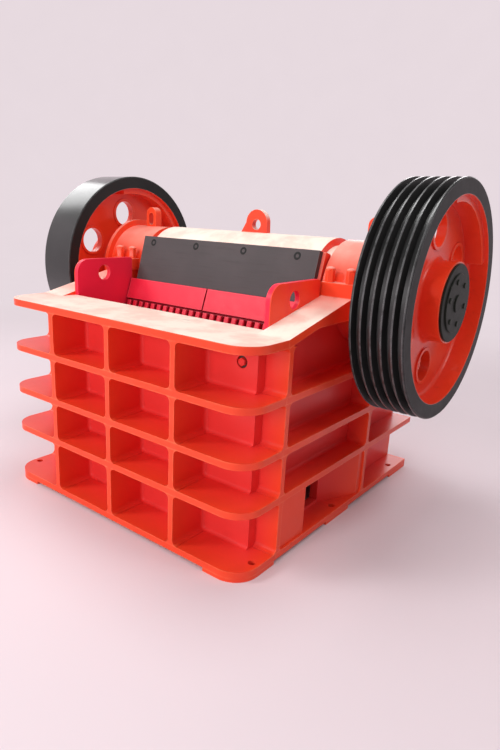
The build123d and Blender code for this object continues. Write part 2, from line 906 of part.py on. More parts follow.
def wheel(grooved):
    """A cast wheel: rim, web with lipped holes, hub, and a counterweight inside the rim."""
    body = revolve(Plane.XZ * wheel_profile(grooved), Axis.X, 360)
    rim_inner = wheel_radius - rim_thickness
    for index in range(web_hole_count):
        turn = radians(web_hole_angle + index * 360 / web_hole_count)
        y = web_hole_circle * cos(turn)
        z = web_hole_circle * sin(turn)
        body += rod_along_x(
            web_hole / 2 + web_hole_lip, web_inner - web_lip_height, web_outer + web_lip_height, y, z
        )
        body -= rod_along_x(web_hole / 2, wheel_inner, wheel_outer, y, z)
    for start, end in (
        (wheel_inner + counterweight_recess, web_inner), (web_outer, wheel_outer - counterweight_recess)
    ):
        section = Pos(start, rim_inner - counterweight_depth) * Rectangle(
            end - start, counterweight_depth + rim_thickness / 2, align=(Align.MIN, Align.MIN)
        )
        weight = revolve(Plane.XY * section, Axis.X, counterweight_angle)
        body += Rot(counterweight_start_angle, 0, 0) * weight
    return Pos(0, shaft_y, shaft_height) * body


def hub_caps():
    """A flat cap on the hub, with a raised disc and a boss at its middle."""
    end = wheel_outer
    discs = []
    for radius, rise in (
        (cap_radius, cap_thickness), (cap_disc_radius, cap_step), (cap_boss_radius, cap_step)
    ):
        end += rise
        disc = rod_along_x(radius, wheel_outer, end)
        discs.append(chamfer(disc.edges().sort_by(Axis.X)[-1], cap_chamfer))
    return pair("hub_cap", discs[0] + discs[1:])


def all_nodes():
    nodes = {}
    for part in (
        base_flange(), foot_pads(), bands(), deck(),
        front_wall(), rear_wall(), side_walls(),
        front_ribs(), rear_ribs(), side_ribs(),
        cheek_plates(), fixed_jaw(), swing_jaw(), guard_plate(),
        pitman(), lifting_eye(), toggle(), bearing_housings(),
        eccentric_shaft(), hub_caps(),
    ):
        nodes.update(part)
    nodes["pulley"] = [wheel(grooved=True)]
    nodes["flywheel"] = [mirrored(wheel(grooved=False))]
    return nodes


os.makedirs("parts", exist_ok=True)
for name, solids in all_nodes().items():
    shape = solids[0] if len(solids) == 1 else Compound(children=solids)
    export_step(shape, f"parts/{name}.step")
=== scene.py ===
"""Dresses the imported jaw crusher: enamel, fasteners, casting coves and a pale studio.

Metres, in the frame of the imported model: +Z up, the shaft along X, the mouth's front towards -Y.
"""
import json
from math import cos, hypot, pi, radians, sin, tan

import bmesh
import bpy
from bpy.props import FloatProperty, FloatVectorProperty, IntProperty, PointerProperty
from mathutils import Matrix, Vector


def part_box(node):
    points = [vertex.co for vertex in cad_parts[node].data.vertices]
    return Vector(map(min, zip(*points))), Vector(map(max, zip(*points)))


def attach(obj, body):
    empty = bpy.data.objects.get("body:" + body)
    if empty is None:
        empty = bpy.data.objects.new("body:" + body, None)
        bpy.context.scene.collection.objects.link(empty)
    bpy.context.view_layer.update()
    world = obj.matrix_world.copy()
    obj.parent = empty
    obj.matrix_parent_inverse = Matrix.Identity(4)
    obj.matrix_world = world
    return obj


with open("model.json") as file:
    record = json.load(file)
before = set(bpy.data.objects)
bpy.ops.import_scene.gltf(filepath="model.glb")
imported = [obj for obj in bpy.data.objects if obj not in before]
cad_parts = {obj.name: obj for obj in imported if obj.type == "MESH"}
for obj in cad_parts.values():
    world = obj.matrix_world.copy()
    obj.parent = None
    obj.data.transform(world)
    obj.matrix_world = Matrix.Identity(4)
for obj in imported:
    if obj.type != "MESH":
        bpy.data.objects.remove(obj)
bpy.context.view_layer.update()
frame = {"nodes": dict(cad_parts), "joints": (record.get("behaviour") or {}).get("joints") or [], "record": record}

bl_info = {
    "name": "Jaw Crusher Dressing",
    "version": (1, 0, 0),
    "blender": (4, 5, 0),
    "location": "View3D > Sidebar > Crusher",
    "description": "Enamel, fasteners, casting coves and a studio for a packed jaw crusher",
    "category": "Object",
}

shaft_axis = Vector(next(j for j in frame["joints"] if j["name"] == "shaft_spin")["pos_m"])
both_sides = ((1, "right"), (-1, "left"))

# the flat top of a head or a washer, as a share of its width
chamfer_share = 0.95
# faces that meet at a wider angle than this keep a sharp edge
smooth_angle = radians(38)

# name, place and disc diameter of each lamp; the studio's properties hold the watts
lamp_rig = (
    ("key", (-2.4, -3.3, 3.1), 1.5),
    ("top", (0.2, 0.4, 4.6), 2.0),
    ("front", (0.4, -7.0, 2.2), 3.0),
    ("side", (3.2, -0.2, 4.4), 2.4),
    ("left", (-5.0, 0.6, 3.6), 3.0),
    ("rear", (-1.0, 5.6, 2.8), 3.0),
)
lamp_aim = Vector((0, 0, 0.65))
sky_colour = (1.0, 0.99, 0.98)

# the backdrop is a round floor that bends up into a wall
backdrop_radius = 14.0
backdrop_bend = 3.0
backdrop_height = 9.0
backdrop_middle = 0.05
backdrop_sides = 96
bend_steps = 12


def node_vertices(node):
    """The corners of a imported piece's mesh, in metres."""
    return [vertex.co.copy() for vertex in frame["nodes"][node].data.vertices]


def from_axis(point):
    """Distance of a point from the shaft's axis."""
    return hypot(point.y - shaft_axis.y, point.z - shaft_axis.z)


def plate_levels(node):
    """Bottom and top of each level plate in a node, from the lowest up."""
    heights = sorted({round(point.z, 4) for point in node_vertices(node)})
    return list(zip(heights[0::2], heights[1::2]))


# Properties

class CrusherColours(bpy.types.PropertyGroup):
    """Paints and metals, with the colours of painted shade, highlight and sheen, as scene-linear colours."""

    frame_enamel: FloatVectorProperty(
        name="Frame enamel", description="Vermilion enamel of the frame", subtype="COLOR",
        min=0, max=1, default=(0.88, 0.062, 0.020),
    )
    # painted shade: the deeper red that the frame's cells take on back towards their walls
    frame_painted_shade: FloatVectorProperty(
        name="Frame shade", description="Deeper red that gathers in the frame's corners", subtype="COLOR",
        min=0, max=1, default=(0.82, 0.046, 0.042),
    )
    # painted highlight: the lighter vermilion along the frame's outer edges
    frame_painted_highlight: FloatVectorProperty(
        name="Frame edge", description="Lighter vermilion along the frame's outer edges", subtype="COLOR",
        min=0, max=1, default=(1.0, 0.20, 0.085),
    )
    jaw_enamel: FloatVectorProperty(
        name="Jaw enamel", description="Crimson enamel of the jaw and cheek plates", subtype="COLOR",
        min=0, max=1, default=(0.84, 0.016, 0.050),
    )
    # painted shade: the dark crimson in the hollows between the teeth
    jaw_painted_shade: FloatVectorProperty(
        name="Jaw shade", description="Dark crimson between the teeth", subtype="COLOR",
        min=0, max=1, default=(0.16, 0.003, 0.008),
    )
    # painted highlight: the lighter crimson along the jaw and cheek plates' outer edges
    jaw_painted_highlight: FloatVectorProperty(
        name="Jaw edge", description="Lighter crimson along the jaw plates' outer edges", subtype="COLOR",
        min=0, max=1, default=(1.0, 0.10, 0.14),
    )
    guard_enamel: FloatVectorProperty(
        name="Guard enamel", description="Warm dark grey of the guard plate", subtype="COLOR",
        min=0, max=1, default=(0.066, 0.053, 0.055),
    )
    rim_enamel: FloatVectorProperty(
        name="Rim enamel", description="Black enamel on the wheels' rims", subtype="COLOR",
        min=0, max=1, default=(0.012, 0.012, 0.012),
    )
    # partly rubbing and partly painted highlight: the grey along the rims' edges and belt crests
    rim_rub_and_highlight: FloatVectorProperty(
        name="Rim edge", description="Grey where the rims' edges are rubbed", subtype="COLOR",
        min=0, max=1, default=(0.30, 0.30, 0.31),
    )
    cap_enamel: FloatVectorProperty(
        name="Cap enamel", description="Green-black enamel of the hub caps", subtype="COLOR",
        min=0, max=1, default=(0.010, 0.012, 0.009),
    )
    bare_steel: FloatVectorProperty(
        name="Bare steel", description="Turned steel of the shaft", subtype="COLOR",
        min=0, max=1, default=(0.42, 0.40, 0.38),
    )
    cast_iron: FloatVectorProperty(
        name="Cast iron", description="Unpainted castings of the toggle", subtype="COLOR",
        min=0, max=1, default=(0.105, 0.085, 0.070),
    )
    # partly dusting and partly painted sheen: the pale cover on upward faces of the deck and the barrel
    stone_dust_and_painted_sheen: FloatVectorProperty(
        name="Stone dust", description="Pale dust that lies on top faces", subtype="COLOR",
        min=0, max=1, default=(0.95, 0.86, 0.74),
    )


class CrusherFasteners(bpy.types.PropertyGroup):
    """Sizes of the bolts, nuts and screws."""

    stud_across_flats: FloatProperty(
        name="Domed nut across flats", description="Size of the domed nuts on the bearing ears",
        default=0.034, unit="LENGTH",
    )
    stud_height: FloatProperty(
        name="Domed nut height", description="From the ear to the top of the dome",
        default=0.058, unit="LENGTH",
    )
    stud_inset: FloatProperty(
        name="Stud inset", description="From the ear's ends to the studs",
        default=0.024, unit="LENGTH",
    )
    guard_screw_diameter: FloatProperty(
        name="Guard screw head", description="Countersunk heads in the guard plate",
        default=0.032, unit="LENGTH",
    )
    guard_screw_pitch: FloatProperty(
        name="Guard screw pitch", description="Between the guard plate's screws",
        default=0.266, unit="LENGTH",
    )
    guard_screw_shift: FloatProperty(
        name="Guard screw shift", description="From the guard plate's middle to that of its screws",
        default=-0.015, unit="LENGTH",
    )
    guard_screw_count: IntProperty(
        name="Guard screws", description="How many screws hold the guard plate", default=4, min=1,
    )
    guard_screw_drop: FloatProperty(
        name="Guard screw drop", description="From the guard's top edge to the screws",
        default=0.028, unit="LENGTH",
    )
    cover_screw_circle: FloatProperty(
        name="Cover screw circle", description="Radius of the screw circle on a bearing cover",
        default=0.178, unit="LENGTH",
    )
    cover_screw_count: IntProperty(
        name="Cover screws", description="How many screws hold a bearing cover", default=8, min=3,
    )
    hub_screw_circle: FloatProperty(
        name="Hub screw circle", description="Radius of the screw circle on a hub cap",
        default=0.083, unit="LENGTH",
    )
    hub_screw_count: IntProperty(
        name="Hub screws", description="How many screws hold a hub cap", default=6, min=3,
    )
    small_across_flats: FloatProperty(
        name="Small screw across flats", description="Hexagon of the cover and hub screws",
        default=0.018, unit="LENGTH",
    )
    cover_screw_head: FloatProperty(
        name="Cover screw head", description="Height of the cover screws' heads",
        default=0.0075, unit="LENGTH",
    )
    hub_screw_head: FloatProperty(
        name="Hub screw head", description="Height of the hub screws' heads over the raised disc",
        default=0.004, unit="LENGTH",
    )
    hub_screw_turn: FloatProperty(
        name="Hub screw turn", description="Turn of the hub screws' circle, backwards",
        subtype="ANGLE", default=radians(12),
    )
    wall_bolt_across_flats: FloatProperty(
        name="Wall bolt across flats", description="Hexagon of the bolts in the front wall's round seats",
        default=0.026, unit="LENGTH",
    )
    wall_bolt_head: FloatProperty(
        name="Wall bolt head", description="Height of those bolts' heads", default=0.015, unit="LENGTH",
    )
    wall_bolt_washer: FloatProperty(
        name="Wall bolt washer", description="Diameter of the rusty washers under those bolts' heads",
        default=0.043, unit="LENGTH",
    )
    washer_thickness: FloatProperty(
        name="Washer thickness", description="Thickness of those washers", default=0.002, unit="LENGTH",
    )
    wall_bolt_spread: FloatProperty(
        name="Wall bolt spread", description="From the middle of the front wall to each bolt",
        default=0.497, unit="LENGTH",
    )
    wall_bolt_height: FloatProperty(
        name="Wall bolt height", description="From the floor to the middle of the bolts",
        default=0.729, unit="LENGTH",
    )
    wall_bolt_recess: FloatProperty(
        name="Wall bolt recess", description="How deep the bolts' seats lie in the wall",
        default=0.012, unit="LENGTH",
    )


class CrusherCasting(bpy.types.PropertyGroup):
    """Sizes of the coves that round the frame's inner corners."""

    cove_radius: FloatProperty(
        name="Cove radius", description="Hollow rounding where plates and ribs meet a wall",
        default=0.014, unit="LENGTH",
    )
    rib_pitch: FloatProperty(
        name="Rib pitch", description="Between the front wall's ribs", default=0.333, unit="LENGTH",
    )
    rib_thickness: FloatProperty(
        name="Rib thickness", description="Thickness of the ribs", default=0.022, unit="LENGTH",
    )
    cell_corner: FloatProperty(
        name="Cell corner", description="Radius of the cells' corners", default=0.020, unit="LENGTH",
    )


class CrusherStudio(bpy.types.PropertyGroup):
    """The camera, the lamps and the backdrop."""

    camera_place: FloatVectorProperty(
        name="Camera", description="Where the camera stands",
        subtype="TRANSLATION", unit="LENGTH", default=(1.6417, -2.0446, 1.2208),
    )
    camera_yaw: FloatProperty(
        name="Yaw", description="Turn of the view from +Y towards -X",
        subtype="ANGLE", default=radians(38.343),
    )
    camera_pitch: FloatProperty(
        name="Pitch", description="Tilt of the view below the horizon",
        subtype="ANGLE", default=radians(16.840),
    )
    camera_roll: FloatProperty(
        name="Roll", description="Turn of the camera about its view",
        subtype="ANGLE", default=radians(2.283),
    )
    camera_lens: FloatProperty(
        name="Lens", description="Focal length in millimetres", default=28.27, min=1, unit="CAMERA",
    )
    camera_shift: FloatVectorProperty(
        name="Shift", description="Shift of the picture, as a share of its long side",
        size=2, default=(0.0344, 0.0152),
    )
    backdrop_colour: FloatVectorProperty(
        name="Backdrop", description="Pale colour of the floor and the wall", subtype="COLOR",
        min=0, max=1, default=(0.80, 0.70, 0.74),
    )
    key_power: FloatProperty(
        name="Key lamp", description="Watts of the key lamp", default=82, min=0, unit="POWER",
    )
    top_power: FloatProperty(
        name="Top lamp", description="Watts of the lamp overhead", default=60, min=0, unit="POWER",
    )
    front_power: FloatProperty(
        name="Front lamp", description="Watts of the lamp before the front cells", default=220, min=0,
        unit="POWER",
    )
    side_power: FloatProperty(
        name="Side lamp", description="Watts of the lamp on the right", default=50, min=0, unit="POWER",
    )
    left_power: FloatProperty(
        name="Left lamp", description="Watts of the lamp along the wheels' treads", default=78, min=0,
        unit="POWER",
    )
    rear_power: FloatProperty(
        name="Rear lamp", description="Watts of the lamp along the deck", default=66, min=0, unit="POWER",
    )
    sky_strength: FloatProperty(
        name="Sky", description="Strength of the even light from all round", default=0.30, min=0,
    )


class CrusherSettings(bpy.types.PropertyGroup):
    """Everything that the crusher's panel shows."""

    colours: PointerProperty(type=CrusherColours)
    fasteners: PointerProperty(type=CrusherFasteners)
    casting: PointerProperty(type=CrusherCasting)
    studio: PointerProperty(type=CrusherStudio)


def settings():
    """The sizes and colours of this scene."""
    return bpy.context.scene.crusher


# Shaders

class Signal:
    """A shader socket in an expression: arithmetic on it adds Math nodes."""

    def __init__(self, recipe, socket):
        self.recipe = recipe
        self.socket = socket

    def math(self, operation, *values, clamp=False):
        chosen = {"operation": operation, "use_clamp": clamp}
        return self.recipe.node("ShaderNodeMath", chosen, dict(enumerate(values)))

    def __add__(self, other):
        return self.math("ADD", self, other)

    def __radd__(self, other):
        return self.math("ADD", other, self)

    def __sub__(self, other):
        return self.math("SUBTRACT", self, other)

    def __rsub__(self, other):
        return self.math("SUBTRACT", other, self)

    def __mul__(self, other):
        return self.math("MULTIPLY", self, other)

    def __rmul__(self, other):
        return self.math("MULTIPLY", other, self)

    def __truediv__(self, other):
        return self.math("DIVIDE", self, other)

    def __rtruediv__(self, other):
        return self.math("DIVIDE", other, self)

    def __pow__(self, other):
        return self.math("POWER", self, other)

    def __abs__(self):
        return self.math("ABSOLUTE", self)

    def larger(self, other):
        return self.math("MAXIMUM", self, other)

    def clamped(self):
        return self.math("ADD", self, 0.0, clamp=True)

    def rise(self, low, high):
        """0 below low, 1 above high and smooth between."""
        sockets = {"Value": self, "From Min": low, "From Max": high}
        return self.recipe.node("ShaderNodeMapRange", {"interpolation_type": "SMOOTHSTEP"}, sockets)


class Recipe:
    """A material written as expressions on its sockets."""

    def __init__(self, name):
        self.material = bpy.data.materials.new(name)
        self.material.use_nodes = True
        self.tree = self.material.node_tree
        self.surface = self.tree.nodes["Principled BSDF"]

    def node(self, kind, chosen=None, sockets=None, output=0):
        """Adds a node: its settings first, then the values or links of its sockets."""
        node = self.tree.nodes.new(kind)
        for name, value in (chosen or {}).items():
            setattr(node, name, value)
        for key, value in (sockets or {}).items():
            self.feed(node.inputs[key], value)
        return Signal(self, node.outputs[output])

    def feed(self, socket, value):
        if isinstance(value, Signal):
            self.tree.links.new(value.socket, socket)
        else:
            socket.default_value = value

    def place(self):
        """Position on the piece, which stays with it in every pose."""
        return self.node("ShaderNodeTexCoord", output="Object")

    def axis(self, vector, name):
        return self.node("ShaderNodeSeparateXYZ", sockets={0: vector}, output=name)

    def noise(self, size, detail=2.0, roughness=0.5, vector=None):
        """Even grey noise whose patches are about size metres across."""
        sockets = {"Vector": vector or self.place(), "Scale": 1 / size}
        sockets |= {"Detail": detail, "Roughness": roughness}
        return self.node("ShaderNodeTexNoise", sockets=sockets)

    def stretched(self, scale):
        """Position on the piece, drawn out along the axes whose scale is small."""
        return self.node("ShaderNodeMapping", sockets={"Vector": self.place(), "Scale": scale})

    def mix(self, factor, first, second):
        """From the first colour to the second as the factor goes from 0 to 1."""
        sockets = {0: factor, 6: rgba(first), 7: rgba(second)}
        return self.node("ShaderNodeMix", {"data_type": "RGBA"}, sockets, output=2)

    def rounded(self, radius):
        """The normal of a surface whose edges are rounded by radius."""
        return self.node("ShaderNodeBevel", {"samples": 6}, {"Radius": radius})

    def edges(self, reach):
        """1 on outer edges and 0 on flats and in corners, over the given reach."""
        edge_gain = 2.2
        chosen = {"samples": 6, "inside": True, "only_local": True}
        solid_share = self.node("ShaderNodeAmbientOcclusion", chosen, {"Distance": reach}, "AO")
        return ((1 - solid_share) * edge_gain).clamped()

    def hollows(self, distance):
        """1 deep in corners and slots and 0 in the open."""
        sockets = {"Distance": distance}
        return 1 - self.node("ShaderNodeAmbientOcclusion", {"samples": 12}, sockets, "AO")

    def facing(self, name):
        """One part of the normal, in the piece's own frame."""
        return self.axis(self.node("ShaderNodeTexCoord", output="Normal"), name)

    def bump(self, height, depth, normal):
        """The normal with height's relief on it, depth metres from its lowest to its highest."""
        sockets = {"Distance": depth, "Height": height, "Normal": normal}
        return self.node("ShaderNodeBump", sockets=sockets)

    def finish(self, **inputs):
        """Sets the surface's inputs by name, with underscores for spaces, and returns the material."""
        for name, value in inputs.items():
            title = name.replace("_", " ").title().replace("Ior", "IOR")
            self.feed(self.surface.inputs[title], value)
        return self.material


def rgba(colour):
    """A colour as a socket takes it."""
    return colour if isinstance(colour, Signal) else (*colour, 1.0)


def tinted(colour, share):
    """The same colour, lighter or darker."""
    return tuple(min(1.0, channel * share) for channel in colour)


def vermilion():
    """The frame's enamel, the painted shade in its cells and the painted highlight along its edges."""
    colours = settings().colours
    return tuple(colours.frame_enamel), tuple(colours.frame_painted_shade), tuple(colours.frame_painted_highlight)


def frame_depth(recipe):
    """0 on the outer faces of the frame's plates and ribs and 1 on its walls, evenly between; it sets the painted
    shade.
    """
    front_face, rear_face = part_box("front_ribs")[0].y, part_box("rear_ribs")[1].y
    front_wall, rear_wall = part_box("front_wall")[0].y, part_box("rear_wall")[1].y
    side_wall, side_face = (corner.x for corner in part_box("side_ribs_right"))
    place = recipe.place()
    along = recipe.axis(place, "Y")
    side = (abs(recipe.axis(place, "X")) - side_wall) / (side_face - side_wall)
    front = (front_wall - along) / (front_wall - front_face)
    rear = (along - rear_wall) / (rear_face - rear_wall)
    return 1 - side.larger(front.larger(rear)).clamped()


def enamel_film(recipe, colour, shade, edge, edge_highlight=0.5, depth=None):
    """Sprayed enamel: nearly even, with painted shade where it lies deep and painted highlights along outer edges.

    depth is the share of the painted shade; the painted highlight along outer edges takes the edge's colour by
    its own share. Where depth is left out, the hollows give it. Returns the film's colour and the fine mottle in
    it.
    """
    cloud_size, mottle_size = 0.45, 0.030
    hollow_reach, edge_reach = 0.07, 0.005
    cloud = recipe.noise(cloud_size, 3.0)
    mottle = recipe.noise(mottle_size, 3.0)
    film = recipe.mix(cloud.rise(0.30, 0.70), tinted(colour, 0.95), tinted(colour, 1.04))
    # painted shade: the shade colour by depth, or by the hollows where depth is left out
    film = recipe.mix(depth or recipe.hollows(hollow_reach) * 0.8, film, shade)
    # painted highlight: the edge's colour along outer edges, broken up by the mottle
    if edge_highlight:
        lightened = recipe.edges(edge_reach) * mottle.rise(0.20, 0.65) * edge_highlight
        film = recipe.mix(lightened, film, edge)
    return film, mottle


def dusted_and_sheened(recipe, film, share):
    """Pale cover over a film, partly dusting and partly painted sheen, thinner in patches. Returns the colour and
    its cover.
    """
    patch_size = 0.11
    thin_cover, patch_cover = 0.75, 0.22
    patches = recipe.noise(patch_size, 5.0, 0.6).rise(0.34, 0.60)
    cover = (patches * patch_cover + thin_cover) * share
    return recipe.mix(cover, film, tuple(settings().colours.stone_dust_and_painted_sheen)), cover


def sprayed_peel(recipe, depth, radius):
    """Normal of a sprayed face: rounded edges, the plate's slight waves and orange peel."""
    peel_size, wave_size = 0.005, 0.07
    height = recipe.noise(peel_size, 1.0) * 0.12 + recipe.noise(wave_size, 2.0)
    return recipe.bump(height, depth, recipe.rounded(radius))


def cove_enamel():
    """The vermilion in the casting's coves, with painted shade by how deep they lie and no painted edge highlight.
    """
    recipe = Recipe("cove_enamel")
    film, mottle = enamel_film(recipe, *vermilion(), edge_highlight=0, depth=frame_depth(recipe))
    return recipe.finish(base_color=film, roughness=0.42 + mottle * 0.10, specular_ior_level=0.2)


def frame_enamel():
    """The frame's vermilion, painted shade and edge highlights; pale deck of dusting and painted sheen, scuffed
    dark in front of the mouth.
    """
    recipe = Recipe("frame_enamel")
    place = recipe.place()
    height = recipe.axis(place, "Z")
    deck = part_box("top_flange_front")[1].z
    # painted shade: deeper red from the outer faces back to the walls in the cells below the deck, where the
    # painted edge highlight fades out
    cells = frame_depth(recipe) * (1 - height.rise(deck - 0.02, deck))
    film, mottle = enamel_film(recipe, *vermilion(), edge_highlight=(0.6 - cells * 4).clamped(), depth=cells)

    # the pale cover of dusting and painted sheen thins out on the bearing seats above the deck and towards its
    # left end
    on_deck = recipe.facing("Z").rise(0.25, 0.95) * height.rise(deck - 0.006, deck - 0.002)
    above_deck = height.rise(deck + 0.03, deck + 0.10)
    left_end = 1 - recipe.axis(place, "X").rise(-0.64, -0.36)
    film, dust_and_sheen = dusted_and_sheened(recipe, film, on_deck * (1 - above_deck * 0.58) * (1 - left_end * 0.3))

    # stones scuff a strip of the deck along the mouth
    scuff_size, scuff_reach, scuff_colour = 0.055, 0.075, (0.06, 0.05, 0.05)
    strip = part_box("cheek_plate_right")[0].y - 0.03
    near_mouth = 1 - abs(recipe.axis(place, "Y") - strip).rise(0.0, scuff_reach)
    along_mouth = recipe.stretched((0.35, 1.6, 1.0))
    scuff = recipe.noise(scuff_size, 5.0, 0.65, along_mouth).rise(0.60, 0.70) * near_mouth * on_deck
    film = recipe.mix(scuff * (1 - above_deck) * 0.7, film, scuff_colour)
    return recipe.finish(
        base_color=film,
        roughness=0.30 + mottle * 0.10 + dust_and_sheen * 0.10 + scuff * 0.3,
        specular_ior_level=0.24,
        coat_weight=0.10,
        coat_roughness=0.2,
        normal=sprayed_peel(recipe, 0.0004, 0.001),
    )


def pitman_enamel():
    """The same vermilion, with a pale cover of dusting and painted sheen on the barrel's upper half."""
    recipe = Recipe("pitman_enamel")
    # painted shade in the hollows and painted highlights along outer edges
    film, mottle = enamel_film(recipe, *vermilion())
    # partly dusting and partly painted sheen: the barrel's upward faces turn pale
    film, dust_and_sheen = dusted_and_sheened(recipe, film, recipe.facing("Z").rise(0.10, 0.80) * 0.95)
    return recipe.finish(
        base_color=film,
        roughness=0.28 + mottle * 0.12 + dust_and_sheen * 0.2,
        specular_ior_level=0.3,
        coat_weight=0.2,
        coat_roughness=0.2,
        normal=sprayed_peel(recipe, 0.0005, 0.003),
    )


def jaw_enamel():
    """Crimson on the cast jaws with painted shade and edge highlights, and painted light on the cheeks, lighter
    vermilion outside.
    """
    colours = settings().colours
    crimson = tuple(colours.jaw_enamel)
    recipe = Recipe("jaw_enamel")
    # painted shade between the teeth and painted highlights along outer edges
    film, mottle = enamel_film(
        recipe, crimson, tuple(colours.jaw_painted_shade), tuple(colours.jaw_painted_highlight), edge_highlight=0.8
    )
    inner_face, outer_face = (corner.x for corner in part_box("cheek_plate_right"))
    across = abs(recipe.axis(recipe.place(), "X"))
    # painted light: the cheek plates are painted a lighter crimson
    cheek = across.rise(inner_face - 0.002, inner_face)
    film = recipe.mix(cheek * 0.6, film, tinted(crimson, 1.3))
    outer_painted_light_size, grain_size, wave_size = 0.16, 0.010, 0.08
    # painted light: patches of lighter vermilion on the cheeks' outer faces
    outside = across.rise(outer_face - 0.006, outer_face - 0.001)
    outer_painted_light = recipe.noise(outer_painted_light_size, 4.0).rise(0.22, 0.55) * outside * 0.9
    grain = recipe.noise(grain_size, 3.0) * 0.5 + recipe.noise(wave_size, 2.0)
    return recipe.finish(
        base_color=recipe.mix(outer_painted_light, film, tinted(colours.frame_enamel, 1.2)),
        roughness=0.34 + mottle * 0.15,
        specular_ior_level=0.3,
        normal=recipe.bump(grain, 0.0007, recipe.rounded(0.003)),
    )


def wheel_enamel():
    """Black rims round vermilion webs, parted by a slightly wavering brush line."""
    colours = settings().colours
    recipe = Recipe("wheel_enamel")
    # painted shade in the web's hollows and painted highlights along its edges
    red, mottle = enamel_film(recipe, *vermilion())
    place = recipe.place()
    across = recipe.axis(place, "Y") - shaft_axis.y
    up = recipe.axis(place, "Z") - shaft_axis.z
    radius = (across * across + up * up) ** 0.5
    waver_size, waver, cloud_size = 0.04, 0.002, 0.2
    line = rim_inner_radius() + recipe.noise(waver_size, 2.0) * waver
    painted = (radius - line).rise(-0.001, 0.001)
    rim = tuple(colours.rim_enamel)
    cloud = recipe.noise(cloud_size, 4.0).rise(0.3, 0.7)
    black = recipe.mix(cloud, tinted(rim, 0.8), tinted(rim, 1.3))
    # partly rubbing and partly painted highlight: grey along the rims' edges and crests
    rubbed_and_highlit = recipe.edges(0.004) * mottle.rise(0.2, 0.6) * 0.6
    black = recipe.mix(rubbed_and_highlit, black, tuple(colours.rim_rub_and_highlight))
    sideways = abs(recipe.facing("X")).rise(0.35, 0.85)
    return recipe.finish(
        base_color=recipe.mix(painted, red, black),
        roughness=0.26 + mottle * 0.12 + painted * sideways * 0.18,
        specular_ior_level=0.22,
        coat_weight=(1 - painted) * 0.35 + painted * (1 - sideways) * 0.9,
        coat_roughness=0.2,
        normal=sprayed_peel(recipe, 0.0004, 0.003),
    )


def rim_inner_radius():
    """Radius where a wheel's rim ends inwards, read from the vertices on the rim's end face."""
    points = node_vertices("flywheel")
    end = min(point.x for point in points)
    radii = {round(from_axis(point), 3) for point in points if point.x < end + 0.001}
    between = (min(radii) + max(radii)) / 2
    return min(radius for radius in radii if radius > between)


def cap_enamel():
    """Green-black gloss on the hub caps, with painted highlights that lighten their steps."""
    cap = tuple(settings().colours.cap_enamel)
    recipe = Recipe("cap_enamel")
    # painted shade in the cap's hollows and painted highlights on its steps
    film, mottle = enamel_film(recipe, cap, tinted(cap, 0.5), tinted(cap, 4.0))
    return recipe.finish(
        base_color=film,
        roughness=0.36 + mottle * 0.14,
        specular_ior_level=0.10,
        normal=sprayed_peel(recipe, 0.0003, 0.0015),
    )


def black_oxide():
    """Oiled black screws, a little brown where the oil has gone."""
    oiled, dry = (0.006, 0.006, 0.006), (0.030, 0.022, 0.018)
    recipe = Recipe("black_oxide")
    lightened = recipe.noise(0.01, 3.0).rise(0.45, 0.7)
    return recipe.finish(
        base_color=recipe.mix(lightened * 0.6, oiled, dry),
        roughness=0.5 + lightened * 0.2,
        specular_ior_level=0.25,
    )


def guard_enamel():
    """Satin grey plate with faint rolling marks and lighter edges."""
    grey = tuple(settings().colours.guard_enamel)
    cloud_size, mark_size = 0.30, 0.010
    recipe = Recipe("guard_enamel")
    cloud = recipe.noise(cloud_size, 4.0).rise(0.3, 0.7)
    film = recipe.mix(cloud, tinted(grey, 0.88), tinted(grey, 1.14))
    marks = recipe.noise(mark_size, 3.0, 0.6, recipe.stretched((0.06, 1.0, 1.0)))
    film = recipe.mix(marks.rise(0.55, 0.75) * 0.25, film, tinted(grey, 0.6))
    film = recipe.mix(recipe.edges(0.003) * 0.6, film, tinted(grey, 2.6))
    return recipe.finish(
        base_color=film,
        roughness=0.42 + marks * 0.14,
        specular_ior_level=0.22,
        normal=recipe.bump(marks, 0.0003, recipe.rounded(0.002)),
    )


def turned_steel():
    """Machined steel: fine rings round the shaft, with a trace of oil."""
    steel = tuple(settings().colours.bare_steel)
    cut_size, oil_size = 0.04, 0.09
    recipe = Recipe("turned_steel")
    cut = recipe.noise(cut_size, 2.0, 0.5, recipe.stretched((60.0, 0.5, 0.5)))
    oil = recipe.noise(oil_size, 4.0).rise(0.45, 0.7)
    return recipe.finish(
        base_color=recipe.mix(oil * 0.5, steel, tinted(steel, 0.45)),
        metallic=1.0,
        roughness=0.24 + cut * 0.18,
        normal=recipe.bump(cut, 0.0002, recipe.rounded(0.0015)),
    )


def cast_iron():
    """Sand-cast iron with blooms of brown rust, dark in its hollows."""
    iron, rust = tuple(settings().colours.cast_iron), (0.19, 0.070, 0.030)
    grain_size, bloom_size = 0.007, 0.09
    recipe = Recipe("cast_iron")
    grain = recipe.noise(grain_size, 4.0, 0.6)
    bloom = recipe.noise(bloom_size, 5.0, 0.6).rise(0.50, 0.72)
    film = recipe.mix(bloom * 0.6, iron, rust)
    # painted shade: the iron goes darker in its hollows
    film = recipe.mix(recipe.hollows(0.05) * 0.6, film, tinted(iron, 0.35))
    return recipe.finish(
        base_color=film,
        metallic=0.35,
        roughness=0.55 + grain * 0.25,
        normal=recipe.bump(grain, 0.0011, recipe.rounded(0.003)),
    )


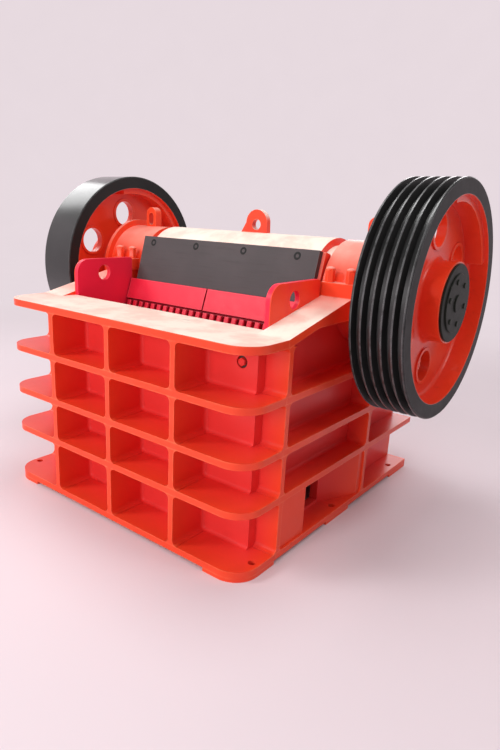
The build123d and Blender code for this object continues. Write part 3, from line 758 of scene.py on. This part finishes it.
def backdrop_paper():
    """Matt paper with faint fibre. Far from the machine it shows its own plain colour to the camera."""
    pale = tuple(settings().studio.backdrop_colour)
    fibre_size, plain_from, plain_beyond = 0.6, 2.4, 5.5
    recipe = Recipe("backdrop_paper")
    colour = recipe.mix(recipe.noise(fibre_size, 3.0), tinted(pale, 0.985), tinted(pale, 1.015))
    recipe.finish(base_color=colour, roughness=0.9, specular_ior_level=0.1)
    seen = [recipe.node("ShaderNodeLightPath", output=name) for name in
            ("Is Camera Ray", "Is Glossy Ray", "Is Transmission Ray")]
    length = {"operation": "LENGTH"}
    reach = recipe.node("ShaderNodeVectorMath", length, {0: recipe.place()}, "Value")
    plain = (seen[0] + seen[1] + seen[2]).clamped() * reach.rise(plain_from, plain_beyond)
    glow = recipe.node("ShaderNodeEmission", sockets={"Color": colour})
    lit = Signal(recipe, recipe.surface.outputs["BSDF"])
    shown = recipe.node("ShaderNodeMixShader", sockets={0: plain, 1: lit, 2: glow})
    recipe.feed(recipe.tree.nodes["Material Output"].inputs["Surface"], shown)
    return recipe.material


finishes = {
    "frame_paint": frame_enamel,
    "cove": cove_enamel,
    "black_screw": black_oxide,
    "pitman_paint": pitman_enamel,
    "jaw_paint": jaw_enamel,
    "guard_paint": guard_enamel,
    "wheel_paint": wheel_enamel,
    "cap_paint": cap_enamel,
    "shaft_steel": turned_steel,
    "toggle_steel": cast_iron,
}
made_finishes = {}


def finish_for(name):
    """The material of a slot, the coves or the black screws, made once."""
    if name not in made_finishes:
        made_finishes[name] = finishes[name]()
    return made_finishes[name]


# Mesh making

def placed(origin, outward, upward=Vector((0, 0, 1))):
    """A frame whose z looks outward from origin and whose y is as near upward as it can be."""
    z = Vector(outward).normalized()
    x = upward.cross(z).normalized()
    y = z.cross(x)
    turn = Matrix((x, y, z)).transposed().to_4x4()
    return Matrix.Translation(origin) @ turn


def add_bands(shape, pairs):
    """Adds the four-sided faces between each pair of closed rings of corners."""
    for first, second in pairs:
        for index in range(len(first)):
            after = (index + 1) % len(first)
            shape.faces.new((first[index], first[after], second[after], second[index]))


def add_turned(shape, where, profile, sides=32, flats=0.0):
    """Adds a closed solid turned about z from (radius, height) pairs, foot first.

    With flats, each ring is cut back to a hexagon of that size across its flats.
    """
    rings = []
    for radius, height in profile:
        ring = []
        for index in range(sides):
            angle = 2 * pi * index / sides
            reach = radius
            if flats:
                face_angle = (angle + pi / 6) % (pi / 3) - pi / 6
                reach = min(radius, flats / 2 / cos(face_angle))
            point = Vector((reach * cos(angle), reach * sin(angle), height))
            ring.append(shape.verts.new(where @ point))
        rings.append(ring)
    add_bands(shape, list(zip(rings, rings[1:])))
    shape.faces.new(list(reversed(rings[0])))
    shape.faces.new(rings[-1])


def hexagon_profile(flats, height, foot=0.0):
    """A hexagon head with a chamfered top, as a turned profile that the flats then cut."""
    corner = flats / 2 / cos(pi / 6)
    face = flats / 2 * chamfer_share
    drop = (corner - face) * tan(pi / 6)
    return [(corner, foot), (corner, foot + height - drop), (face, foot + height)]


def add_hexagon(shape, where, flats, height, foot=0.0):
    """Adds a hexagon head of that height on its foot, six faces to each flat."""
    add_turned(shape, where, hexagon_profile(flats, height, foot), 36, flats)


def add_screw_circle(shape, side, face, angles, circle, height):
    """Adds small hexagon screws round the shaft, on the face at side * face that looks outward."""
    flats = settings().fasteners.small_across_flats
    for angle in angles:
        origin = Vector((side * face, shaft_axis.y, shaft_axis.z))
        origin += Vector((0, cos(angle), sin(angle))) * circle
        add_hexagon(shape, placed(origin, (side, 0, 0)), flats, height)


def add_cove(shape, path, to_frame, radius, closed):
    """Adds a hollow rounding along a path in the (across, up) plane, on the path's left.

    to_frame turns (across, up, out) into the model's frame, where out leaves the wall.
    """
    steps = 9
    section = [(0.0, 0.0), (radius, 0.0)]
    for index in range(1, steps):
        angle = pi / 2 * index / steps
        section.append((radius - radius * sin(angle), radius - radius * cos(angle)))
    section.append((0.0, radius))
    count = len(path)
    rings = []
    for index, point in enumerate(path):
        before = path[index - 1] if closed or index else None
        after = path[(index + 1) % count] if closed or index < count - 1 else None
        normals = []
        for start, end in ((before, point), (point, after)):
            if start is not None and end is not None:
                run = Vector(end) - Vector(start)
                normals.append(Vector((-run.y, run.x)).normalized())
        mitre = normals[0] if len(normals) == 1 else normals[0] + normals[1]
        mitre = mitre / mitre.dot(normals[0])
        ring = []
        for inward, out in section:
            spot = Vector(point) + mitre * inward
            ring.append(shape.verts.new(to_frame @ Vector((spot.x, spot.y, out))))
        rings.append(ring)
    add_bands(shape, list(zip(rings, rings[1:])) + ([(rings[-1], rings[0])] if closed else []))
    if not closed:
        shape.faces.new(rings[0])
        shape.faces.new(list(reversed(rings[-1])))


def rounded_corner(centre, radius, start):
    """Quarter circle of points that turns left, from the start angle."""
    steps = 4
    angles = [start + pi / 2 * index / steps for index in range(steps + 1)]
    return [(centre[0] + radius * cos(angle), centre[1] + radius * sin(angle)) for angle in angles]


def cell_path(low, high, corner, open_side=None):
    """Outline of a cell, inside on the left, with round corners; open_side leaves one side out.

    The corners start at the low right one. An open left or right side starts and ends square.
    """
    left, bottom = low
    right, top = high
    corners = [
        rounded_corner((right - corner, bottom + corner), corner, -pi / 2),
        rounded_corner((right - corner, top - corner), corner, 0),
        rounded_corner((left + corner, top - corner), corner, pi / 2),
        rounded_corner((left + corner, bottom + corner), corner, pi),
    ]
    if open_side == "right":
        return [(right, top), *corners[2], *corners[3], (right, bottom)]
    if open_side == "left":
        return [(left, bottom), *corners[0], *corners[1], (left, top)]
    if open_side == "top":
        return [(left, top), *corners[3], *corners[0], (right, top)]
    return [point for corner_points in corners for point in corner_points]


def make_piece(name, body, slot, shape, finish=None):
    """Turns a bmesh into a piece that rides a body and takes a slot's finish, or a named one."""
    bmesh.ops.recalc_face_normals(shape, faces=shape.faces)
    mesh = bpy.data.meshes.new(name)
    shape.to_mesh(mesh)
    shape.free()
    for polygon in mesh.polygons:
        polygon.use_smooth = True
    mesh.set_sharp_from_angle(angle=smooth_angle)
    mesh.materials.append(finish_for(finish or slot))
    piece = bpy.data.objects.new(name, mesh)
    bpy.context.scene.collection.objects.link(piece)
    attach(piece, body)


# Operators

class CRUSHER_OT_enamel(bpy.types.Operator):
    """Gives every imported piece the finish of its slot"""

    bl_idname = "crusher.enamel"
    bl_label = "Paint the pieces"

    def execute(self, context):
        for subpart in frame["record"]["subparts"]:
            piece = frame["nodes"][subpart["node"]]
            material = finish_for(subpart["material_slot"])
            if not piece.material_slots:
                piece.data.materials.append(material)
            for slot in piece.material_slots:
                slot.material = material
        return {"FINISHED"}


class CRUSHER_OT_ear_studs(bpy.types.Operator):
    """Studs with domed nuts on the bearing caps' ears"""

    bl_idname = "crusher.ear_studs"
    bl_label = "Ear studs"

    def execute(self, context):
        sizes = settings().fasteners
        inset = sizes.stud_inset
        flats = sizes.stud_across_flats
        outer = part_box("top_flange_right")[1].x
        for side, word in both_sides:
            low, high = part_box(f"bearing_cap_{word}")
            ear_top, inner = self.ear(word)
            shape = bmesh.new()
            for x in (inner + inset, outer - inset):
                for y in (low.y + inset, high.y - inset):
                    where = Matrix.Translation((side * x, y, ear_top))
                    self.add_domed_nut(shape, where, flats, sizes.stud_height)
            make_piece(f"ear_studs_{word}", "frame", "frame_paint", shape)
        return {"FINISHED"}

    def ear(self, word):
        """Height of the ear's flat top and how near the middle it comes, read at its front edge."""
        points = node_vertices(f"bearing_cap_{word}")
        front = min(point.y for point in points)
        edge = [point for point in points if point.y < front + 0.001]
        return max(point.z for point in edge), min(abs(point.x) for point in edge)

    def add_domed_nut(self, shape, where, flats, top):
        """A hexagon under a dome that is a little wider than its flats."""
        crown = flats * 0.56
        rise = crown * 0.62
        brim = top - rise
        steps = 7
        dome = [(crown * 0.84, brim - 0.003), (crown, brim)]
        for step in range(1, steps):
            angle = step * pi / (2 * steps)
            dome.append((crown * cos(angle), brim + rise * sin(angle)))
        add_hexagon(shape, where, flats * 0.94, brim)
        add_turned(shape, where, dome)


class CRUSHER_OT_guard_screws(bpy.types.Operator):
    """Countersunk screws with round sockets along the guard plate's top edge"""

    bl_idname = "crusher.guard_screws"
    bl_label = "Guard screws"

    def execute(self, context):
        sizes = settings().fasteners
        normal, face = self.front_face()
        slope = normal.cross(Vector((1, 0, 0)))
        centre = sum(face, Vector()) / len(face)
        reach = max((point - centre).dot(slope) for point in face)
        radius = sizes.guard_screw_diameter / 2
        count = sizes.guard_screw_count
        shape = bmesh.new()
        for index in range(count):
            x = (index - (count - 1) / 2) * sizes.guard_screw_pitch + sizes.guard_screw_shift
            along = reach - sizes.guard_screw_drop
            origin = Vector((x, centre.y, centre.z)) + slope * along
            self.add_screw(shape, placed(origin, normal, slope), radius)
        make_piece("guard_screws", "swing_jaw", "cap_paint", shape, "black_screw")
        return {"FINISHED"}

    def front_face(self):
        """Outward normal of the guard's front face and the vertices that lie on it."""
        plate = frame["nodes"]["guard_plate"].data
        facing = [polygon for polygon in plate.polygons if polygon.normal.y < 0]
        normal = max(facing, key=lambda polygon: polygon.area).normal.copy()
        points = node_vertices("guard_plate")
        furthest = max(point.dot(normal) for point in points)
        return normal, [point for point in points if point.dot(normal) > furthest - 0.0002]

    def add_screw(self, shape, where, radius):
        """A countersunk head with a round socket, in one turned skin from its shank to the socket."""
        socket = radius * 0.46
        proud = 0.0011
        outer = [(radius * 0.55, -0.006), (radius, -0.0002), (radius, 0.0006), (radius * 0.94, proud)]
        inner = [(socket * 1.16, proud), (socket, 0.0004), (socket, -0.005)]
        add_turned(shape, where, outer + inner, 36)


class CRUSHER_OT_cover_screws(bpy.types.Operator):
    """Hexagon screws round both bearing covers"""

    bl_idname = "crusher.cover_screws"
    bl_label = "Cover screws"

    def execute(self, context):
        sizes = settings().fasteners
        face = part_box("bearing_cover_right")[1].x
        count = sizes.cover_screw_count
        angles = [2 * pi * (index + 0.5) / count for index in range(count)]
        for side, word in both_sides:
            shape = bmesh.new()
            add_screw_circle(shape, side, face, angles, sizes.cover_screw_circle, sizes.cover_screw_head)
            make_piece(f"cover_screws_{word}", "frame", "frame_paint", shape)
        return {"FINISHED"}


class CRUSHER_OT_hub_screws(bpy.types.Operator):
    """Hexagon screws on both hub caps"""

    bl_idname = "crusher.hub_screws"
    bl_label = "Hub screws"

    def execute(self, context):
        sizes = settings().fasteners
        circle = sizes.hub_screw_circle
        # the screws stand on the disc, which reaches further from the axis than their circle
        face = max(point.x for point in node_vertices("hub_cap_right") if from_axis(point) > circle)
        count = sizes.hub_screw_count
        angles = [2 * pi * index / count - sizes.hub_screw_turn for index in range(count)]
        for side, word in both_sides:
            shape = bmesh.new()
            add_screw_circle(shape, side, face, angles, circle, sizes.hub_screw_head)
            make_piece(f"hub_screws_{word}", "rotor", "cap_paint", shape)
        return {"FINISHED"}


class CRUSHER_OT_coves(bpy.types.Operator):
    """Casting coves in the corners of the frame's cells"""

    bl_idname = "crusher.coves"
    bl_label = "Casting coves"

    def execute(self, context):
        self.front()
        for side, word in both_sides:
            self.side(side, word)
        return {"FINISHED"}

    def bays(self):
        """Floor and roof of each row of cells."""
        bands = plate_levels("front_bands")
        floors = [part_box("base_flange_front")[1].z] + [top for bottom, top in bands]
        roofs = [bottom for bottom, top in bands] + [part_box("top_flange_front")[0].z]
        return list(zip(floors, roofs))

    def front(self):
        """Coves on the front wall: two closed cells in the middle and an open one at each end."""
        sizes = settings().casting
        wall_low, wall_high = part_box("front_wall")
        # (across, up, out) is (x, z, -y) on the front
        to_frame = Matrix(((1, 0, 0, 0), (0, 0, -1, wall_low.y), (0, 1, 0, 0), (0, 0, 0, 1)))
        half = sizes.rib_thickness / 2
        shape = bmesh.new()
        for floor, roof in self.bays():
            for left, right in ((-1, 0), (0, 1)):
                low = (left * sizes.rib_pitch + half, floor)
                high = (right * sizes.rib_pitch - half, roof)
                path = cell_path(low, high, sizes.cell_corner)
                add_cove(shape, path, to_frame, sizes.cove_radius, True)
            right_cell = ((sizes.rib_pitch + half, floor), (wall_high.x, roof), "right")
            left_cell = ((wall_low.x, floor), (-sizes.rib_pitch - half, roof), "left")
            for low, high, open_side in (right_cell, left_cell):
                path = cell_path(low, high, sizes.cell_corner, open_side)
                add_cove(shape, path, to_frame, sizes.cove_radius, False)
        make_piece("front_coves", "frame", "frame_paint", shape, "cove")

    def side(self, side, word):
        """Coves on a side wall, in the cells between its first and its last rib."""
        sizes = settings().casting
        ribs_low, ribs_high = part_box("side_ribs_right")
        # (across, up, out) is (y, z, x) on the right and (y, z, -x) on the left
        wall = (0, 0, side, side * ribs_low.x)
        to_frame = Matrix((wall, (1, 0, 0, 0), (0, 1, 0, 0), (0, 0, 0, 1)))
        first = ribs_low.y + sizes.rib_thickness
        second = ribs_high.y - sizes.rib_thickness
        bays = self.bays()
        shape = bmesh.new()
        # the pockets fill the lowest bay, and the deck's ramp closes the highest
        for floor, roof in bays[1:]:
            open_side = "top" if roof == bays[-1][1] else None
            path = cell_path((first, floor), (second, roof), sizes.cell_corner, open_side)
            add_cove(shape, path, to_frame, sizes.cove_radius, open_side is None)
        make_piece(f"side_coves_{word}", "frame", "frame_paint", shape, "cove")


class CRUSHER_OT_wall_bolts(bpy.types.Operator):
    """Hexagon bolts with washers in the front wall's two round seats"""

    bl_idname = "crusher.wall_bolts"
    bl_label = "Wall bolts"

    def execute(self, context):
        sizes = settings().fasteners
        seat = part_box("front_wall")[0].y + sizes.wall_bolt_recess
        rim = sizes.wall_bolt_washer / 2
        thick = sizes.washer_thickness
        disc = [(rim, 0.0), (rim, thick), (rim * chamfer_share, thick + 0.0005)]
        bolts = bmesh.new()
        washers = bmesh.new()
        for side in (-1, 1):
            middle = (side * sizes.wall_bolt_spread, seat, sizes.wall_bolt_height)
            where = placed(middle, (0, -1, 0))
            add_turned(washers, where, disc)
            add_hexagon(bolts, where, sizes.wall_bolt_across_flats, sizes.wall_bolt_head, thick)
        make_piece("wall_bolts", "frame", "frame_paint", bolts, "cove")
        make_piece("wall_bolt_washers", "frame", "frame_paint", washers, "toggle_steel")
        return {"FINISHED"}


class CRUSHER_OT_studio(bpy.types.Operator):
    """Floor, backdrop, lamps, sky and camera"""

    bl_idname = "crusher.studio"
    bl_label = "Studio"

    def execute(self, context):
        self.backdrop()
        self.lamps()
        self.camera(context)
        context.scene.view_settings.view_transform = "Standard"
        return {"FINISHED"}

    def backdrop(self):
        """A floor that curves up into a wall on every side, round the machine."""
        shape = bmesh.new()
        flat = backdrop_radius - backdrop_bend
        profile = [(backdrop_middle, 0.0), (flat, 0.0)]
        for step in range(1, bend_steps + 1):
            turn = step * pi / (2 * bend_steps)
            out = flat + backdrop_bend * sin(turn)
            profile.append((out, backdrop_bend - backdrop_bend * cos(turn)))
        profile.append((backdrop_radius, backdrop_height))
        angles = [2 * pi * index / backdrop_sides for index in range(backdrop_sides)]
        rings = []
        for reach, height in profile:
            ring = [(reach * cos(angle), reach * sin(angle), height) for angle in angles]
            rings.append([shape.verts.new(point) for point in ring])
        add_bands(shape, list(zip(rings, rings[1:])))
        shape.faces.new(rings[0])
        mesh = bpy.data.meshes.new("backdrop")
        shape.to_mesh(mesh)
        shape.free()
        mesh.shade_smooth()
        mesh.materials.append(backdrop_paper())
        backdrop = bpy.data.objects.new("backdrop", mesh)
        bpy.context.scene.collection.objects.link(backdrop)

    def lamps(self):
        """Round lamps that the camera doesn't see, and an even sky."""
        studio = settings().studio
        for name, place, diameter in lamp_rig:
            light = bpy.data.lights.new(f"{name}_lamp", "AREA")
            light.shape = "DISK"
            light.size = diameter
            light.energy = getattr(studio, f"{name}_power")
            lamp = bpy.data.objects.new(f"{name}_lamp", light)
            lamp.visible_camera = False
            lamp.location = place
            lamp.rotation_euler = (lamp_aim - Vector(place)).to_track_quat("-Z", "Y").to_euler()
            bpy.context.scene.collection.objects.link(lamp)
        world = bpy.data.worlds.new("sky")
        world.use_nodes = True
        sky = world.node_tree.nodes["Background"]
        sky.inputs["Color"].default_value = rgba(sky_colour)
        sky.inputs["Strength"].default_value = studio.sky_strength
        bpy.context.scene.world = world

    def camera(self, context):
        """The photograph's view."""
        studio = settings().studio
        data = bpy.data.cameras.new("camera")
        data.lens = studio.camera_lens
        data.shift_x, data.shift_y = studio.camera_shift
        camera = bpy.data.objects.new("camera", data)
        camera.matrix_world = (
            Matrix.Translation(studio.camera_place)
            @ Matrix.Rotation(studio.camera_yaw, 4, "Z")
            @ Matrix.Rotation(pi / 2 - studio.camera_pitch, 4, "X")
            @ Matrix.Rotation(studio.camera_roll, 4, "Z")
        )
        context.scene.collection.objects.link(camera)
        context.scene.camera = camera


class CRUSHER_PT_panel(bpy.types.Panel):
    """Lists the crusher's operators, and the sizes and colours that they read"""

    bl_idname = "CRUSHER_PT_panel"
    bl_label = "Jaw crusher"
    bl_space_type = "VIEW_3D"
    bl_region_type = "UI"
    bl_category = "Crusher"

    def draw(self, context):
        crusher = settings()
        for operator in operators:
            self.layout.operator(operator.bl_idname)
        for group in (crusher.colours, crusher.fasteners, crusher.casting, crusher.studio):
            box = self.layout.box()
            for item in group.bl_rna.properties:
                if item.identifier not in ("rna_type", "name"):
                    box.prop(group, item.identifier)


operators = (
    CRUSHER_OT_enamel,
    CRUSHER_OT_ear_studs,
    CRUSHER_OT_guard_screws,
    CRUSHER_OT_cover_screws,
    CRUSHER_OT_hub_screws,
    CRUSHER_OT_wall_bolts,
    CRUSHER_OT_coves,
    CRUSHER_OT_studio,
)
classes = (
    CrusherColours,
    CrusherFasteners,
    CrusherCasting,
    CrusherStudio,
    CrusherSettings,
    *operators,
    CRUSHER_PT_panel,
)


def register():
    for cls in classes:
        bpy.utils.register_class(cls)
    bpy.types.Scene.crusher = PointerProperty(type=CrusherSettings)


def unregister():
    del bpy.types.Scene.crusher
    for cls in reversed(classes):
        bpy.utils.unregister_class(cls)


def main():
    register()
    for operator in operators:
        getattr(bpy.ops.crusher, operator.bl_idname.removeprefix("crusher."))()


if __name__ == "__main__":
    main()
